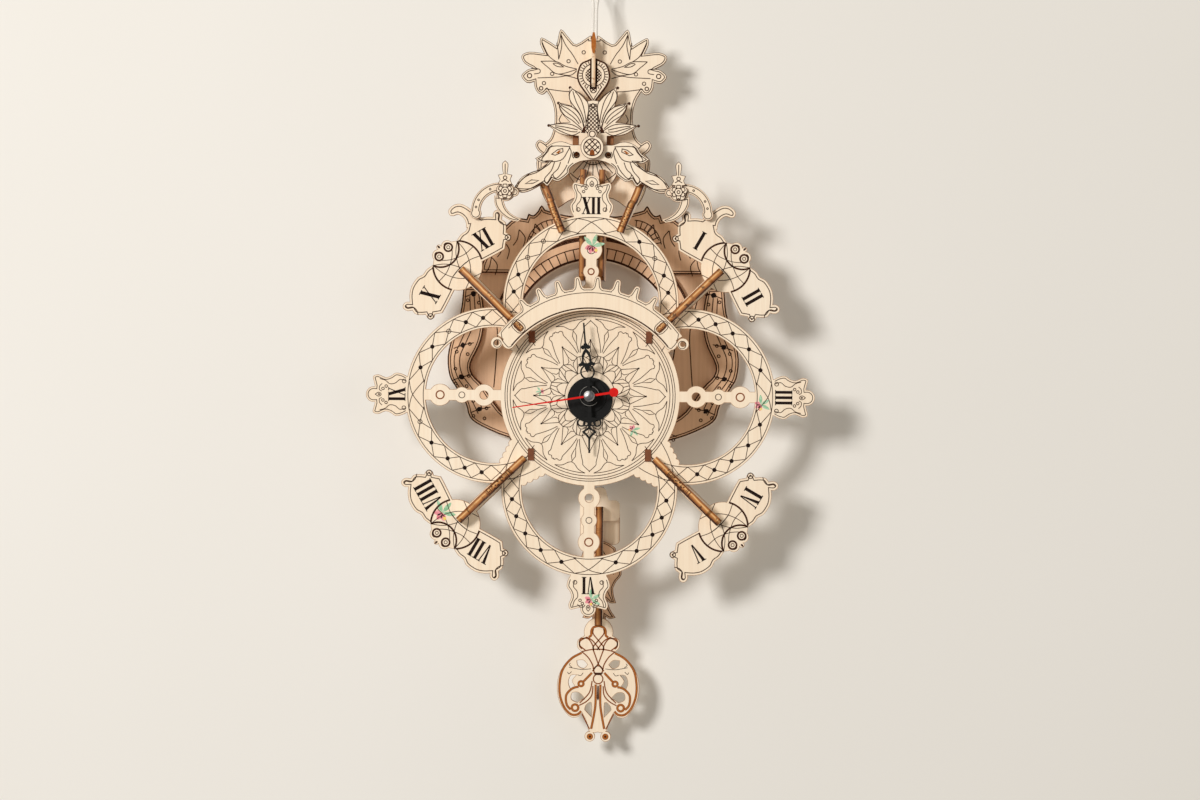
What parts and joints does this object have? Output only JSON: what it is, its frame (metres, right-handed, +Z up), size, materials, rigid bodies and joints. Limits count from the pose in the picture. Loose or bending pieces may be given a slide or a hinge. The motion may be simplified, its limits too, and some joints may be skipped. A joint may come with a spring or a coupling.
{
  "type": "wall clock",
  "caption": "Wall clock of laser-cut plywood boards on a cord: round dial in four rings, toothed arch, angled number plates, leaf crown, quartz movement and swinging pendulum.",
  "frame": {"origin": "the point on the wall where the hook stands that holds the cord's loop", "axes": "+Z up, the wall is the plane Y = 0 with +Y into it, and the dial faces -Y"},
  "size_m": [0.2246, 0.0504, 0.3863],
  "materials": {
    "pale_plywood": "pale laser-cut plywood",
    "shaded_plywood": "plywood with a light brown stain",
    "burnt_edge": "laser-burnt edge of plywood",
    "black_plastic": "matt black",
    "black_metal": "matt black paint",
    "white_plastic": "off-white",
    "steel": "plain",
    "red_metal": "red paint",
    "battery_sleeve": "plain green sleeve",
    "copper_coil": "enamelled copper",
    "green_board": "circuit board",
    "brass": "turned",
    "white_cord": "twisted white cord"
  },
  "bodies": {
    "frame": {"back_plate": "shaded_plywood", "back_border": "shaded_plywood", "brick_ring": "shaded_plywood", "scalloped_board": "shaded_plywood", "rail_left": "burnt_edge", "rail_right": "burnt_edge", "crown_back": "pale_plywood", "crown_front": "pale_plywood", "crown_bulb": "pale_plywood", "crown_spine": "burnt_edge", "crown_spacer": "burnt_edge", "pineapple_ring": "pale_plywood", "keystone_fan": "pale_plywood", "swag_plate": "pale_plywood", "top_bracket_left": "burnt_edge", "top_bracket_right": "burnt_edge", "scroll_plate_left": "pale_plywood", "scroll_plate_right": "pale_plywood", "rosette_left": "pale_plywood", "rosette_right": "pale_plywood", "quatrefoil_plate": "pale_plywood", "toothed_arch": "pale_plywood", "rib_upper_left": "burnt_edge", "rib_upper_right": "burnt_edge", "rib_lower_left": "burnt_edge", "rib_lower_right": "burnt_edge", "number_plate_10_11": "pale_plywood", "number_plate_1_2": "pale_plywood", "number_plate_4_5": "pale_plywood", "number_plate_7_8": "pale_plywood", "bay_side_left": "burnt_edge", "bay_side_right": "burnt_edge", "case_front": "black_plastic", "case_back": "black_plastic", "battery": "battery_sleeve", "battery_contacts": "steel", "stepper_module": "copper_coil", "circuit_board": "green_board", "threaded_bush": "brass", "dial_washer": "black_metal", "dial_nut": "black_metal", "pendulum_drive": "black_plastic", "hanging_cord": "white_cord"},
    "minute": {"centre_wheel": "white_plastic", "minute_hand": "black_metal"},
    "hour": {"hour_wheel": "white_plastic", "hour_hand": "black_metal"},
    "second": {"second_arbor": "steel", "second_hand": "red_metal", "hand_cap": "steel"},
    "minute_wheel": {"minute_wheel": "white_plastic"},
    "third_wheel": {"third_wheel": "white_plastic"},
    "setter": {"setting_knob": "black_plastic"},
    "pendulum": {"pendulum_hanger": "steel", "pendulum_rod": "burnt_edge", "pendulum_plate_upper": "pale_plywood", "pendulum_plate_lower": "pale_plywood", "pendulum_leaves": "shaded_plywood", "pendulum_bob": "pale_plywood"}
  },
  "joints": [
    {"name": "minute_turn", "type": "hinge", "parent": "frame", "child": "minute", "pos_m": [0, -0.036, -0.208], "axis": [0, 1, 0], "continuous": true},
    {"name": "hour_turn", "type": "hinge", "parent": "frame", "child": "hour", "pos_m": [0, -0.036, -0.208], "axis": [0, 1, 0], "continuous": true},
    {"name": "second_turn", "type": "hinge", "parent": "frame", "child": "second", "pos_m": [0, -0.036, -0.208], "axis": [0, 1, 0], "continuous": true},
    {"name": "minute_wheel_turn", "type": "hinge", "parent": "frame", "child": "minute_wheel", "pos_m": [0.01182, -0.032, -0.20592], "axis": [0, 1, 0], "continuous": true},
    {"name": "third_wheel_turn", "type": "hinge", "parent": "frame", "child": "third_wheel", "pos_m": [-0.00213, -0.027, -0.19595], "axis": [0, 1, 0], "continuous": true},
    {"name": "setting_turn", "type": "hinge", "parent": "frame", "child": "setter", "pos_m": [0.01857, -0.018, -0.19423], "axis": [0, 1, 0], "continuous": true},
    {"name": "pendulum_swing", "type": "hinge", "parent": "frame", "child": "pendulum", "pos_m": [0.0044, -0.0104, -0.185], "axis": [0, 1, 0], "range_deg": [-6, 6]}
  ],
  "couplings": [
    {"joint": "hour_turn", "follows": "minute_turn", "ratio": 0.083333},
    {"joint": "second_turn", "follows": "minute_turn", "ratio": 60},
    {"joint": "minute_wheel_turn", "follows": "minute_turn", "ratio": -0.33333},
    {"joint": "third_wheel_turn", "follows": "minute_turn", "ratio": -8},
    {"joint": "setting_turn", "follows": "minute_turn", "ratio": 0.66667}
  ]
}
